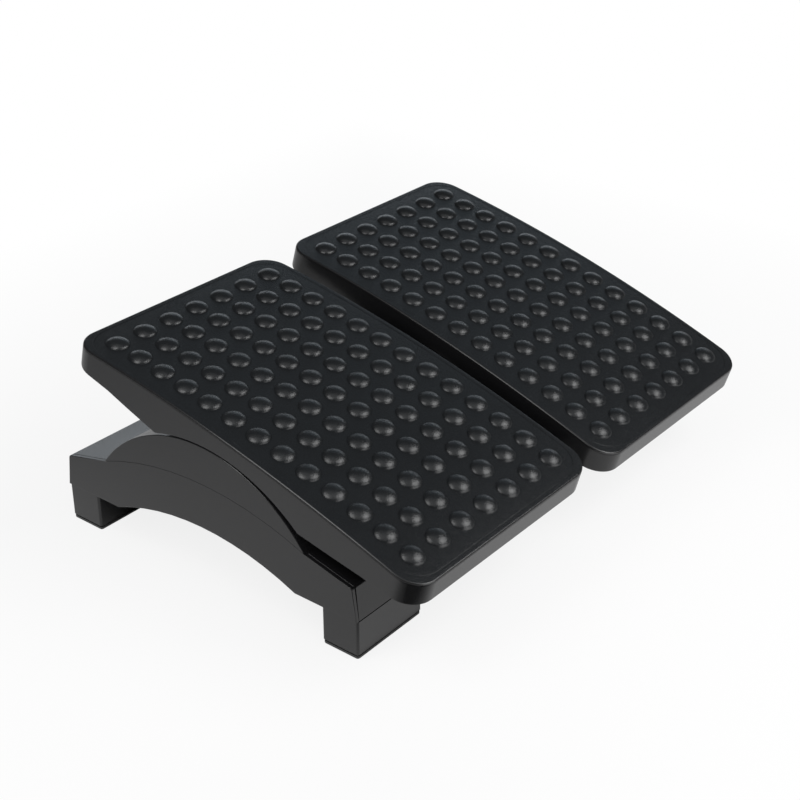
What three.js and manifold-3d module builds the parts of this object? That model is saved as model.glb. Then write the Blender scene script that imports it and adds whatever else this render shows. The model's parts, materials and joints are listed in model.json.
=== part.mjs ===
// Under-desk footrest: two crowned pedals rock like saddles on one arched base.
// Millimetres. X runs across to the user's right, Y away from the user and Z up.
// The origin lies on the floor under the middle of the whole footrest.
import * as THREE from "three";
import { mergeVertices } from "three/addons/utils/BufferGeometryUtils.js";
import Module from "manifold-3d";

const wasm = await Module();
wasm.setup();

// Clearances and facets
const seatGap = 0.3; // between pieces that touch or slide on each other
const overrun = 6; // how far a cut runs past what it cuts
const embed = 1; // how far a feature reaches into the wall that it grows from
const weldDistance = 0.001;
const facetAngle = THREE.MathUtils.degToRad(4);
const cornerFacetAngle = THREE.MathUtils.degToRad(22.5);
const roundFacets = 10;

// Overall sizes and the way that the pedals stand
const overallWidth = 452;
const pedalSpace = 19.4; // between the two pedals
const restTilts = { left: THREE.MathUtils.degToRad(14.31), right: THREE.MathUtils.degToRad(15.72) };
const travelAngle = THREE.MathUtils.degToRad(19); // each way from level

// Arch that the pedals slide on
const archRadius = 129.5;
const archCentreDrop = 7; // the arch's centre lies this far under the floor
const archFootAngle = THREE.MathUtils.degToRad(53.43); // from the arch's top to where it meets a shelf
const coverWall = 3.6;
const coverTuck = 5; // the cover's foot reaches this far down behind the shelf
const seamRise = 20; // crown of the seam on the side, above the arch's feet

// Base body
const bodyDepth = 305;
const bodyFloor = 32.3; // height of the body's flat underside
const shelfFall = 9.6; // from the arch's foot down to the shelf's outer edge
const shelfCorner = 3.3;
const wallLean = 4.7; // the front and rear walls lean in by this much
const undersideReach = 93; // half the span of the hollow under the body
const undersideRise = 19;
const frameWall = 3;
const panelWall = 3;
const grooveWidth = 1.2; // tapered groove between a panel and the front or rear wall
const grooveDepth = 1.5;
const tabDepth = 18;
const tabRise = 15; // underside of the cover's screw tabs, above the body's floor

// Legs
const legWidth = 72.5;
const legDepth = 33.4;
const legInset = 1.2;
const legWall = 3;
const legCorner = 2;
const padThickness = 3;
const padPlug = 4; // height of the pad's plug inside the leg
const padInset = 0.4;
const legScrewSpacing = 36;

// Pedals
const pedalDepth = 344;
const pedalSetForward = 5; // the deck's middle lies this far towards the user from the saddle's
const pedalCorner = 21;
const crownRadius = 1560; // gentle lengthwise crown of the deck
const deckRise = 16.5; // top of the rim above the arch, at the crown
const rimWidth = 4.8;
const deckWall = 2.6;
const skirtWall = 2.8;
const skirtGap = 1.3; // between the skirt's saddle curve and the arch
const saddleReach = 72; // half the length of the skirt's saddle curve
const skirtHeight = 19; // at the pedal's front and rear ends
// Points of the skirt's lower edge, as shares along and up from the saddle curve to the pedal's end
const skirtEdgeShares = [[0.32, 0.44], [0.55, 0.82], [0.8, 0.97], [1, 1]];
const ribWall = 3;
const ribRecess = 1.5; // the ribs end this far above the skirt's edge
const crossRibShares = [-0.8, -0.54, -0.27, 0.27, 0.54, 0.8]; // places along half the pedal's depth
const shoeOffset = 50; // from the pedal's middle to each glide shoe

// Massage mat
const matRecess = 0.4; // below the rim
const matThickness = 2.2;
const matCorner = 24;
const matMargin = 8; // least flat border around the domes
const domePitchAcross = 28;
const domePitchAlong = 24.55;
const domeDiameter = 19.2;
const domeHeight = 3.8;
const domeRoot = 0.5; // the dome's foot inside the sheet
const domeRingShares = [0.6, 0.78]; // radius and height of the ring between foot and top
const domeFacets = 6;

// Guide through the slot in the arch
const stemWidth = 22;
const stemLength = 16;
const stemSideGap = 0.6;
const bossGap = 1.6; // between the arch and the boss on the pedal's underside
const bossBorder = 5;
const frictionPadThickness = 1.8;
const keeperThickness = 3.2;
const keeperLap = 18; // beyond each side of the slot
const keeperReach = 28; // half the keeper's length
const stopThickness = 3.5;
const stopEar = 4;
const shoeThickness = 2.5;
const shoeLip = 5;
const shoeLipWall = 2;

// Screws
const screwShankRadius = 1.6;
const screwHeadRadius = 3.8;
const screwHeadHeight = 2.4;
const screwDimpleRadius = 1.8;
const screwDimpleDepth = 1.2;
const screwGrip = 10; // depth of thread in the piece that holds it
const screwEndSpace = 1;
const postRadius = 4.6;
const panelPostRadius = 3.1;
const keeperScrewSpacing = 12;

// Sizes worked out from those above
const halfWidth = overallWidth / 2;
const halfDepth = bodyDepth / 2;
const pedalWidth = (overallWidth - pedalSpace) / 2;
const pedalCentre = (pedalSpace + pedalWidth) / 2;
const archFootReach = archRadius * Math.sin(archFootAngle);
const archFootHeight = archRadius * Math.cos(archFootAngle) - archCentreDrop;
const coverAngle = archFootAngle + coverTuck / archRadius;
const coverInner = archRadius - coverWall;
const shoulderReach = halfDepth - wallLean;
const shoulderHeight = archFootHeight - shelfFall;
const frameEnd = halfWidth - panelWall - seatGap;
const frictionPadOuter = coverInner - seatGap;
const frictionPadInner = frictionPadOuter - frictionPadThickness;
const keeperOuter = frictionPadInner - seatGap;
const keeperInner = keeperOuter - keeperThickness;
const keeperAngle = keeperReach / coverInner;
const bossBottom = archRadius + bossGap;
const bossHalfWidth = stemWidth / 2 + bossBorder;
const slotWidth = stemWidth + 2 * stemSideGap;
const stopAngle = stopThickness / coverInner;
const slotAngle = travelAngle + Math.asin(stemLength / 2 / coverInner) + seatGap / coverInner + stopAngle;
const shoeInner = archRadius + seatGap;
const shoeOuter = shoeInner + shoeThickness;
const shoeSeat = shoeOuter + seatGap;
const saddleAngle = Math.asin(saddleReach / (archRadius + skirtGap));
const screwHole = screwShankRadius + seatGap;
const matFloorDrop = matRecess + matThickness + seatGap;
const deckUnderDrop = matFloorDrop + deckWall;
const matWidth = pedalWidth - 2 * (rimWidth + seatGap);
const matDepth = pedalDepth - 2 * (rimWidth + seatGap);
const domeColumns = copiesAcross(matWidth, domePitchAcross);
const domeRows = copiesAcross(matDepth, domePitchAlong);
const tabTop = bodyFloor + tabRise + frameWall;
const tabMiddle = undersideReach - tabDepth / 2;
const legCentreX = halfWidth - legInset - legWidth / 2;
const legCentreY = halfDepth - legInset - legDepth / 2;

const sides = { left: -1, right: 1 };
const ends = { front: -1, rear: 1 };

// Looks
const shellLook = { color: 0x2c2d2f, roughness: 0.45, metalness: 0 };
const matLook = { color: 0x1d2123, roughness: 0.5, metalness: 0 };
const rubberLook = { color: 0x151515, roughness: 0.85, metalness: 0 };
const acetalLook = { color: 0x232425, roughness: 0.35, metalness: 0 };
const steelLook = { color: 0x8f9296, roughness: 0.35, metalness: 1 };

// How many domes fit across a length of the mat at a pitch.
function copiesAcross(length, pitch) {
  return Math.floor((length - 2 * matMargin - domeDiameter) / pitch) + 1;
}

// Solids

function solid(geometry) {
  geometry.deleteAttribute("normal");
  geometry.deleteAttribute("uv");
  const merged = mergeVertices(geometry, weldDistance);
  const vertProperties = merged.attributes.position.array;
  const triVerts = new Uint32Array(merged.index.array);
  return new wasm.Manifold(new wasm.Mesh({ numProp: 3, vertProperties, triVerts }));
}

function union(bodies) {
  return bodies.reduce((sum, body) => sum.add(body));
}

// Extrudes an outline of (y, z) points from one x to another.
function alongX(points, from, to) {
  const shape = new THREE.Shape(points.map(([y, z]) => new THREE.Vector2(y, z)));
  const geometry = new THREE.ExtrudeGeometry(shape, { depth: to - from, bevelEnabled: false });
  const yAxis = new THREE.Vector3(0, 1, 0);
  const zAxis = new THREE.Vector3(0, 0, 1);
  const xAxis = new THREE.Vector3(1, 0, 0);
  geometry.applyMatrix4(new THREE.Matrix4().makeBasis(yAxis, zAxis, xAxis));
  geometry.translate(from, 0, 0);
  return solid(geometry);
}

// Extrudes an outline of (x, y) points from one z to another.
function alongZ(points, from, to) {
  const shape = new THREE.Shape(points.map(([x, y]) => new THREE.Vector2(x, y)));
  const geometry = new THREE.ExtrudeGeometry(shape, { depth: to - from, bevelEnabled: false });
  geometry.translate(0, 0, from);
  return solid(geometry);
}

function block(x0, x1, y0, y1, z0, z1) {
  const geometry = new THREE.BoxGeometry(x1 - x0, y1 - y0, z1 - z0);
  geometry.translate((x0 + x1) / 2, (y0 + y1) / 2, (z0 + z1) / 2);
  return solid(geometry);
}

function rodAlongZ(radius, x, y, from, to) {
  const geometry = new THREE.CylinderGeometry(radius, radius, to - from, roundFacets);
  geometry.rotateX(Math.PI / 2);
  geometry.translate(x, y, (from + to) / 2);
  return solid(geometry);
}

function rodAlongX(radius, y, z, from, to) {
  const geometry = new THREE.CylinderGeometry(radius, radius, Math.abs(to - from), roundFacets);
  geometry.rotateZ(Math.PI / 2);
  geometry.translate((from + to) / 2, y, z);
  return solid(geometry);
}

// Outlines

// Points on a circle, from one angle to another, both counted from straight up towards the rear.
function arc(y, z, radius, from, to, facet = facetAngle) {
  const steps = Math.max(2, Math.ceil(Math.abs(to - from) / facet));
  const points = [];
  for (let i = 0; i <= steps; i++) {
    const angle = from + ((to - from) * i) / steps;
    points.push([y + radius * Math.sin(angle), z + radius * Math.cos(angle)]);
  }
  return points;
}

// A curved strip between two radii about a centre on the middle line.
function band(z, inner, outer, from, to) {
  return [...arc(0, z, outer, from, to), ...arc(0, z, inner, to, from)];
}

// A low arc from front to rear through two ends at one height and a crown above them.
function lowArc(reach, height, rise) {
  const radius = (reach ** 2 + rise ** 2) / (2 * rise);
  const half = Math.asin(reach / radius);
  return arc(0, height + rise - radius, radius, -half, half);
}

function roundedRectangle(width, depth, radius, x, y) {
  const cornerX = width / 2 - radius;
  const cornerY = depth / 2 - radius;
  const quarter = Math.PI / 2;
  return [
    ...arc(x + cornerX, y + cornerY, radius, 0, quarter, cornerFacetAngle),
    ...arc(x + cornerX, y - cornerY, radius, quarter, 2 * quarter, cornerFacetAngle),
    ...arc(x - cornerX, y - cornerY, radius, 2 * quarter, 3 * quarter, cornerFacetAngle),
    ...arc(x - cornerX, y + cornerY, radius, 3 * quarter, 4 * quarter, cornerFacetAngle),
  ];
}

function shelfHeight(reach) {
  return archFootHeight - (shelfFall * (reach - archFootReach)) / (shoulderReach - archFootReach);
}

// The base body seen from its end, with the given line of points between the arch's feet.
function bodyOutline(top) {
  const cornerStart = shoulderReach - shelfCorner;
  const cornerDrop = shoulderHeight - shelfCorner;
  const corner = arc(cornerStart, cornerDrop, shelfCorner, 0, Math.PI / 2, cornerFacetAngle);
  const mirrored = corner.map(([y, z]) => [-y, z]).reverse();
  return [
    [-halfDepth, bodyFloor],
    ...mirrored,
    ...top,
    ...corner,
    [halfDepth, bodyFloor],
    ...lowArc(undersideReach, bodyFloor, undersideRise).reverse(),
  ];
}

// Base

function archTop() {
  return arc(0, -archCentreDrop, archRadius, -archFootAngle, archFootAngle);
}

function seamTop() {
  return lowArc(archFootReach, archFootHeight, seamRise);
}

// Everything beside a panel that lies below the seam, with the seam's own gap.
function underSeam(side) {
  const beyond = archFootReach + coverTuck + overrun;
  const seam = seamTop().map(([y, z]) => [y, z + seatGap]);
  const outline = [
    [-beyond, 0],
    [-beyond, archFootHeight + seatGap],
    ...seam,
    [beyond, archFootHeight + seatGap],
    [beyond, 0],
  ];
  const x0 = side * frameEnd;
  const x1 = side * (halfWidth + overrun);
  return alongX(outline, Math.min(x0, x1), Math.max(x0, x1));
}

// The slot for a pedal's stem, widened at both ends for the rubber stops.
function guideSlot(side) {
  const x = side * pedalCentre;
  const wide = slotWidth / 2 + stopEar;
  const inner = coverInner - overrun;
  const outer = archRadius + overrun;
  const spread = slotAngle + seatGap / coverInner;
  const notchStart = slotAngle - stopAngle - seatGap / coverInner;
  const cut = (from, to, half) => {
    return alongX(band(-archCentreDrop, inner, outer, from, to), x - half, x + half);
  };
  return union([
    cut(-spread, spread, slotWidth / 2),
    cut(notchStart, spread, wide),
    cut(-spread, -notchStart, wide),
  ]);
}

// Places of the screws that hold the cover down, in the outer and the inner bays of each half.
function coverScrewPlaces() {
  const outerRib = pedalCentre + shoeOffset;
  const innerRib = pedalCentre - shoeOffset;
  const places = [];
  for (const side of Object.values(sides)) {
    for (const x of [(outerRib + frameEnd) / 2, innerRib / 2]) {
      for (const end of Object.values(ends)) {
        places.push([side * x, end * tabMiddle]);
      }
    }
  }
  return places;
}

function archCover() {
  const section = band(-archCentreDrop, coverInner, archRadius, -coverAngle, coverAngle);
  const plate = alongX(section, -halfWidth, halfWidth);
  const segment = arc(0, -archCentreDrop, archRadius, -coverAngle, coverAngle);
  const innerSegment = arc(0, -archCentreDrop, coverInner + embed, -coverAngle, coverAngle);
  const underCover = alongX(innerSegment, -halfWidth, halfWidth);
  const leftEnd = alongX(segment, -halfWidth, -halfWidth + panelWall);
  const rightEnd = alongX(segment, halfWidth - panelWall, halfWidth);
  let body = union([plate, leftEnd, rightEnd]);
  for (const side of Object.values(sides)) {
    body = body.subtract(underSeam(side)).subtract(guideSlot(side));
  }
  for (const [x, y] of coverScrewPlaces()) {
    const foot = tabTop + seatGap;
    const post = rodAlongZ(postRadius, x, y, foot, archRadius).intersect(underCover);
    const hole = rodAlongZ(screwHole, x, y, foot - overrun, foot + screwGrip + screwEndSpace);
    body = body.add(post).subtract(hole);
  }
  return body;
}

// Places of the frame's crosswise ribs: one under each glide shoe, one in the middle and one at each end.
function ribPlaces() {
  const half = [pedalCentre - shoeOffset, pedalCentre + shoeOffset, frameEnd - frameWall / 2];
  return [...half.map((x) => -x).reverse(), 0, ...half];
}

// Hollow inside the front or rear beam of the frame, open below.
function beamHollow(end, from, to) {
  const wallFoot = undersideReach + frameWall;
  const below = bodyFloor - overrun;
  const tuckHeight = coverInner * Math.cos(coverAngle) - archCentreDrop;
  const ledge = tuckHeight - seatGap - frameWall;
  const ledgeReach = (archRadius + seatGap) * Math.sin(coverAngle) + frameWall;
  const roofEnd = shoulderReach - frameWall;
  const outline = [
    [wallFoot, below],
    [wallFoot, ledge],
    [ledgeReach, ledge],
    [ledgeReach, shelfHeight(ledgeReach) - frameWall],
    [roofEnd, shelfHeight(roofEnd) - frameWall],
    [halfDepth - frameWall, below],
  ];
  return alongX(outline.map(([y, z]) => [end * y, z]), from, to);
}

// Wedge that opens the tapered groove beside a side panel, on the front or rear wall.
function cornerGroove(side, end) {
  const outline = [
    [frameEnd + overrun, bodyFloor],
    [frameEnd, bodyFloor],
    [frameEnd - grooveWidth, shoulderHeight],
    [frameEnd - grooveWidth, shoulderHeight + overrun],
    [frameEnd + overrun, shoulderHeight + overrun],
  ];
  const shape = new THREE.Shape(outline.map(([x, z]) => new THREE.Vector2(side * x, z)));
  const geometry = new THREE.ExtrudeGeometry(shape, { depth: grooveDepth + overrun, bevelEnabled: false });
  geometry.rotateX(Math.PI / 2);
  const outermost = end * (shoulderReach - grooveDepth);
  geometry.translate(0, end > 0 ? outermost + grooveDepth + overrun : outermost, 0);
  return solid(geometry);
}

function legScrewPlaces(side, end) {
  const y = end * legCentreY;
  return [-1, 1].map((way) => [side * legCentreX + (way * legScrewSpacing) / 2, y]);
}

function panelScrewPlaces() {
  const outer = (halfDepth + archFootReach) / 2;
  const outerHeight = (bodyFloor + shoulderHeight) / 2;
  const middleHeight = (bodyFloor + undersideRise + archFootHeight + seamRise) / 2;
  return [[-outer, outerHeight], [0, middleHeight], [outer, outerHeight]];
}

function frameTabs() {
  const tabs = [];
  const ribs = ribPlaces();
  const bays = [0, 2, 3, 5];
  for (const bay of bays) {
    for (const end of Object.values(ends)) {
      const y0 = end * (undersideReach - tabDepth);
      const y1 = end * (undersideReach + embed);
      const x0 = ribs[bay];
      const x1 = ribs[bay + 1];
      tabs.push(block(x0, x1, Math.min(y0, y1), Math.max(y0, y1), tabTop - frameWall, tabTop));
    }
  }
  return union(tabs);
}

function baseFrame() {
  const silhouette = alongX(bodyOutline(archTop()), -frameEnd, frameEnd);
  const coverPlace = band(-archCentreDrop, coverInner - seatGap, archRadius + seatGap,
    -coverAngle - seatGap / coverInner, coverAngle + seatGap / coverInner);
  let body = silhouette.subtract(alongX(coverPlace, -halfWidth, halfWidth));
  const ribs = ribPlaces();
  for (let bay = 0; bay + 1 < ribs.length; bay++) {
    const from = ribs[bay] + frameWall / 2;
    const to = ribs[bay + 1] - frameWall / 2;
    body = body.subtract(block(from, to, -undersideReach, undersideReach, 0, archRadius));
    body = body.subtract(beamHollow(ends.front, from, to)).subtract(beamHollow(ends.rear, from, to));
  }
  body = body.add(frameTabs());
  for (const [x, y] of coverScrewPlaces()) {
    body = body.subtract(rodAlongZ(screwHole, x, y, tabTop - frameWall - overrun, tabTop + overrun));
  }
  for (const side of Object.values(sides)) {
    for (const end of Object.values(ends)) {
      for (const [x, y] of legScrewPlaces(side, end)) {
        const post = rodAlongZ(postRadius, x, y, bodyFloor, archFootHeight).intersect(silhouette);
        const hole = rodAlongZ(screwHole, x, y, bodyFloor - overrun, bodyFloor + screwGrip + screwEndSpace);
        body = body.add(post).subtract(hole);
      }
      body = body.subtract(cornerGroove(side, end));
    }
    for (const [y, z] of panelScrewPlaces()) {
      const from = side * (frameEnd - frameWall - embed);
      body = body.subtract(rodAlongX(panelPostRadius + seatGap, y, z, from, side * (frameEnd + overrun)));
    }
  }
  return body;
}

function sidePanel(side) {
  const x0 = side * (halfWidth - panelWall);
  const x1 = side * halfWidth;
  let body = alongX(bodyOutline(seamTop()), Math.min(x0, x1), Math.max(x0, x1));
  const postEnd = side * (frameEnd - frameWall + seatGap);
  for (const [y, z] of panelScrewPlaces()) {
    const post = rodAlongX(panelPostRadius, y, z, postEnd, side * (halfWidth - panelWall / 2));
    const hole = rodAlongX(screwHole, y, z, postEnd - side * overrun, side * (halfWidth - panelWall / 2));
    body = body.add(post).subtract(hole);
  }
  return body;
}

function leg(side, end) {
  const x = side * legCentreX;
  const y = end * legCentreY;
  const top = bodyFloor - seatGap;
  const outside = alongZ(roundedRectangle(legWidth, legDepth, legCorner, x, y), padThickness + seatGap, top);
  const pocketX = legWidth / 2 - legWall;
  const pocketY = legDepth / 2 - legWall;
  const pocket = block(x - pocketX, x + pocketX, y - pocketY, y + pocketY, 0, top - legWall);
  let body = outside.subtract(pocket);
  for (const [screwX, screwY] of legScrewPlaces(side, end)) {
    body = body.subtract(rodAlongZ(screwHole, screwX, screwY, 0, top + overrun));
  }
  return body;
}

function footPad(side, end) {
  const x = side * legCentreX;
  const y = end * legCentreY;
  const width = legWidth - 2 * padInset;
  const depth = legDepth - 2 * padInset;
  const plate = alongZ(roundedRectangle(width, depth, legCorner, x, y), 0, padThickness);
  const plugX = legWidth / 2 - legWall - seatGap;
  const plugY = legDepth / 2 - legWall - seatGap;
  const top = padThickness + padPlug;
  return plate.add(block(x - plugX, x + plugX, y - plugY, y + plugY, padThickness / 2, top));
}

function slotStop(side, end) {
  const x = side * pedalCentre;
  const half = slotWidth / 2 + stopEar - seatGap;
  const from = end * (slotAngle - stopAngle);
  return alongX(band(-archCentreDrop, coverInner, archRadius, from, end * slotAngle), x - half, x + half);
}

// Pedals, with their own origin at the arch's centre, Z square to the deck and Y along it

// Height of the deck at a place along it, lowered by a drop.
function deckHeight(along, drop) {
  const offset = along + pedalSetForward;
  const fall = crownRadius - Math.sqrt(crownRadius ** 2 - offset ** 2);
  return archRadius + deckRise - drop - fall;
}

// The deck's crowned line from front to rear, with a flat facet under each row of domes.
function deckLine(drop, reach) {
  const places = [-reach];
  for (let row = 0; row <= domeRows; row++) {
    const place = (row - domeRows / 2) * domePitchAlong;
    if (Math.abs(place) < reach - embed) places.push(place);
  }
  places.push(reach);
  return places.map((place) => [place - pedalSetForward, deckHeight(place - pedalSetForward, drop)]);
}

// The skirt's lower edge on one end, from the saddle curve out to the pedal's end.
function skirtEdge(end, raise) {
  const outermost = pedalDepth / 2 - end * pedalSetForward;
  const low = Math.cos(saddleAngle) * (archRadius + skirtGap);
  const high = deckHeight(end * outermost, skirtHeight);
  return skirtEdgeShares.map(([along, up]) => {
    return [end * (saddleReach + (outermost - saddleReach) * along), low + (high - low) * up + raise];
  });
}

// The pedal seen from its side: crowned top, and a lower edge with the saddle curve in its middle.
function pedalOutline(raise) {
  const saddle = arc(0, 0, archRadius + skirtGap + raise, saddleAngle, -saddleAngle);
  return [
    ...deckLine(0, pedalDepth / 2),
    ...skirtEdge(ends.rear, raise).reverse(),
    ...saddle,
    ...skirtEdge(ends.front, raise),
  ];
}

function deckPlan(inset, radius) {
  return roundedRectangle(pedalWidth - 2 * inset, pedalDepth - 2 * inset, radius, 0, -pedalSetForward);
}

// All that lies above, or below, the deck's line at a drop.
function besideDeck(drop, height) {
  const reach = pedalDepth / 2 + overrun;
  const line = deckLine(drop, reach);
  const outline = [...line, [reach - pedalSetForward, height], [-reach - pedalSetForward, height]];
  return alongX(outline, -pedalWidth / 2 - overrun, pedalWidth / 2 + overrun);
}

// Places of the lengthwise ribs on both halves: beside the boss, over the shoe and outside it.
function lengthRibPlaces() {
  const half = [bossHalfWidth, shoeOffset, (shoeOffset + pedalWidth / 2 - skirtWall) / 2];
  return [...half.map((x) => -x), ...half];
}

function pedalRibs() {
  const slabs = [];
  for (const x of lengthRibPlaces()) {
    slabs.push(block(x - ribWall / 2, x + ribWall / 2, -pedalDepth, pedalDepth, 0, 2 * archRadius));
  }
  for (const share of crossRibShares) {
    const y = (share * pedalDepth) / 2 - pedalSetForward;
    slabs.push(block(-pedalWidth, pedalWidth, y - ribWall / 2, y + ribWall / 2, 0, 2 * archRadius));
  }
  const within = alongX(pedalOutline(ribRecess), -pedalWidth / 2, pedalWidth / 2);
  const plan = alongZ(deckPlan(skirtWall / 2, pedalCorner - skirtWall / 2), 0, 2 * archRadius);
  const archSpace = alongX(arc(0, 0, shoeSeat, -Math.PI, Math.PI).slice(1), -pedalWidth, pedalWidth);
  return union(slabs).intersect(within).intersect(plan).subtract(archSpace);
}

function keeperScrewPlaces() {
  return [-keeperScrewSpacing / 2, keeperScrewSpacing / 2];
}

function pedalTray() {
  const top = 2 * archRadius;
  const outside = alongX(pedalOutline(0), -pedalWidth / 2, pedalWidth / 2)
    .intersect(alongZ(deckPlan(0, pedalCorner), 0, top));
  const hollow = besideDeck(deckUnderDrop, 0)
    .intersect(alongZ(deckPlan(skirtWall, pedalCorner - skirtWall), 0, top));
  const x = bossHalfWidth;
  const y = stemLength / 2 + bossBorder;
  const boss = block(-x, x, -y, y, bossBottom, deckHeight(0, matFloorDrop + embed));
  const matPlace = besideDeck(matFloorDrop, top).intersect(alongZ(deckPlan(rimWidth, matCorner), 0, top));
  let body = outside.subtract(hollow).add(pedalRibs()).add(boss).subtract(matPlace);
  for (const place of keeperScrewPlaces()) {
    body = body.subtract(rodAlongZ(screwHole, place, 0, 0, deckHeight(0, deckUnderDrop)));
  }
  return body;
}

// One low dome with its foot sunk into the sheet and its top turned up.
function dome(x, y) {
  const radius = domeDiameter / 2;
  const [ringShare, heightShare] = domeRingShares;
  const profile = [
    [0, -domeRoot],
    [radius, -domeRoot],
    [radius * ringShare, domeHeight * heightShare],
    [0, domeHeight],
  ];
  const geometry = new THREE.LatheGeometry(profile.map(([r, h]) => new THREE.Vector2(r, h)), domeFacets);
  geometry.rotateX(Math.PI / 2);
  geometry.rotateX(-Math.asin((y + pedalSetForward) / crownRadius));
  geometry.translate(x, y, deckHeight(y, matRecess));
  return solid(geometry);
}

function massageMat() {
  const top = 2 * archRadius;
  const sheet = besideDeck(matRecess, 0)
    .subtract(besideDeck(matRecess + matThickness, 0))
    .intersect(alongZ(deckPlan(rimWidth + seatGap, matCorner - seatGap), 0, top));
  const domes = [];
  for (let column = 0; column < domeColumns; column++) {
    for (let row = 0; row < domeRows; row++) {
      const x = (column - (domeColumns - 1) / 2) * domePitchAcross;
      const y = (row - (domeRows - 1) / 2) * domePitchAlong - pedalSetForward;
      domes.push(dome(x, y));
    }
  }
  return wasm.Manifold.union([sheet, ...domes]);
}

function guideStem() {
  const x = stemWidth / 2;
  const y = stemLength / 2;
  let body = block(-x, x, -y, y, keeperOuter + seatGap, bossBottom - seatGap);
  for (const place of keeperScrewPlaces()) {
    body = body.subtract(rodAlongZ(screwHole, place, 0, 0, archRadius + overrun));
  }
  return body;
}

function frictionPad() {
  const half = slotWidth / 2 + keeperLap;
  const outline = band(0, frictionPadInner, frictionPadOuter, -keeperAngle, keeperAngle);
  const holeX = stemWidth / 2 + seatGap;
  const holeY = stemLength / 2 + seatGap;
  return alongX(outline, -half, half).subtract(block(-holeX, holeX, -holeY, holeY, 0, archRadius));
}

function keeperPlate() {
  const half = slotWidth / 2 + keeperLap;
  let body = alongX(band(0, keeperInner, keeperOuter, -keeperAngle, keeperAngle), -half, half);
  for (const x of keeperScrewPlaces()) {
    body = body.subtract(rodAlongZ(screwHole, x, 0, 0, archRadius));
  }
  return body;
}

// A curved channel that straddles a rib and slides on the arch.
function glideShoe(way) {
  const x = way * shoeOffset;
  const inner = ribWall / 2 + seatGap;
  const outer = inner + shoeLipWall;
  const strip = alongX(band(0, shoeInner, shoeOuter, -saddleAngle, saddleAngle), x - outer, x + outer);
  const lip = band(0, shoeOuter - embed, shoeOuter + shoeLip, -keeperAngle, keeperAngle);
  const lowLip = alongX(lip, x - outer, x - inner);
  const highLip = alongX(lip, x + inner, x + outer);
  return union([strip, lowLip, highLip]);
}

// A pan-head screw that points up, with its head's outer face at zero.
function screw(shank) {
  const profile = [
    [0, screwDimpleDepth],
    [screwDimpleRadius, 0],
    [screwHeadRadius, 0],
    [screwHeadRadius, screwHeadHeight],
    [screwShankRadius, screwHeadHeight],
    [screwShankRadius, screwHeadHeight + shank],
    [0, screwHeadHeight + shank],
  ];
  const geometry = new THREE.LatheGeometry(profile.map(([r, h]) => new THREE.Vector2(r, h)), roundFacets);
  geometry.rotateX(Math.PI / 2);
  return solid(geometry);
}

// Scene graph

function addPiece(parent, name, body, look) {
  const { numProp, vertProperties, triVerts } = body.getMesh();
  const geometry = new THREE.BufferGeometry();
  geometry.setAttribute("position", new THREE.BufferAttribute(vertProperties, numProp));
  geometry.setIndex(new THREE.BufferAttribute(triVerts, 1));
  const mesh = new THREE.Mesh(geometry, new THREE.MeshStandardMaterial(look));
  mesh.name = name;
  parent.add(mesh);
  return mesh;
}

function addScrew(parent, name, shank, x, y, z, turn = 0) {
  const mesh = addPiece(parent, name, screw(shank), steelLook);
  mesh.position.set(x, y, z);
  mesh.rotation.y = turn;
}

function makeBase() {
  const base = new THREE.Group();
  addPiece(base, "base_frame", baseFrame(), shellLook);
  addPiece(base, "arch_cover", archCover(), shellLook);
  coverScrewPlaces().forEach(([x, y], i) => {
    const headTop = tabTop - frameWall - seatGap;
    const shank = 2 * seatGap + frameWall + screwGrip;
    addScrew(base, `cover_screw_${i + 1}`, shank, x, y, headTop - screwHeadHeight);
  });
  for (const [sideName, side] of Object.entries(sides)) {
    addPiece(base, `${sideName}_side_panel`, sidePanel(side), shellLook);
    panelScrewPlaces().forEach(([y, z], i) => {
      const headFace = frameEnd - frameWall - seatGap;
      const shank = frameWall + 2 * seatGap;
      const x = side * (headFace - screwHeadHeight);
      addScrew(base, `${sideName}_panel_screw_${i + 1}`, shank, x, y, z, (side * Math.PI) / 2);
    });
    for (const [endName, end] of Object.entries(ends)) {
      addPiece(base, `${endName}_${sideName}_leg`, leg(side, end), shellLook);
      addPiece(base, `${endName}_${sideName}_foot_pad`, footPad(side, end), rubberLook);
      addPiece(base, `${sideName}_${endName}_stop`, slotStop(side, end), rubberLook);
      legScrewPlaces(side, end).forEach(([x, y], i) => {
        const headTop = bodyFloor - 2 * seatGap - legWall;
        const shank = legWall + 2 * seatGap + screwGrip;
        const name = `${endName}_${sideName}_leg_screw_${i + 1}`;
        addScrew(base, name, shank, x, y, headTop - screwHeadHeight);
      });
    }
  }
  return base;
}

function makePedal(sideName, side) {
  const pedal = new THREE.Group();
  pedal.position.set(side * pedalCentre, 0, -archCentreDrop);
  pedal.rotation.x = restTilts[sideName];
  addPiece(pedal, `${sideName}_pedal_tray`, pedalTray(), shellLook);
  addPiece(pedal, `${sideName}_massage_mat`, massageMat(), matLook);
  addPiece(pedal, `${sideName}_guide_stem`, guideStem(), acetalLook);
  addPiece(pedal, `${sideName}_friction_pad`, frictionPad(), rubberLook);
  addPiece(pedal, `${sideName}_keeper_plate`, keeperPlate(), acetalLook);
  addPiece(pedal, `${sideName}_inner_glide_shoe`, glideShoe(-side), acetalLook);
  addPiece(pedal, `${sideName}_outer_glide_shoe`, glideShoe(side), acetalLook);
  keeperScrewPlaces().forEach((x, i) => {
    const headTop = keeperInner - seatGap;
    const shank = deckHeight(0, deckUnderDrop) - screwEndSpace - headTop;
    addScrew(pedal, `${sideName}_keeper_screw_${i + 1}`, shank, x, 0, headTop - screwHeadHeight);
  });
  return pedal;
}

// Puts the middle of the whole footrest over the origin.
function centred(group) {
  const holder = new THREE.Group();
  holder.add(group);
  const box = new THREE.Box3().setFromObject(holder, true);
  group.position.y = -(box.min.y + box.max.y) / 2;
  return holder;
}

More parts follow.
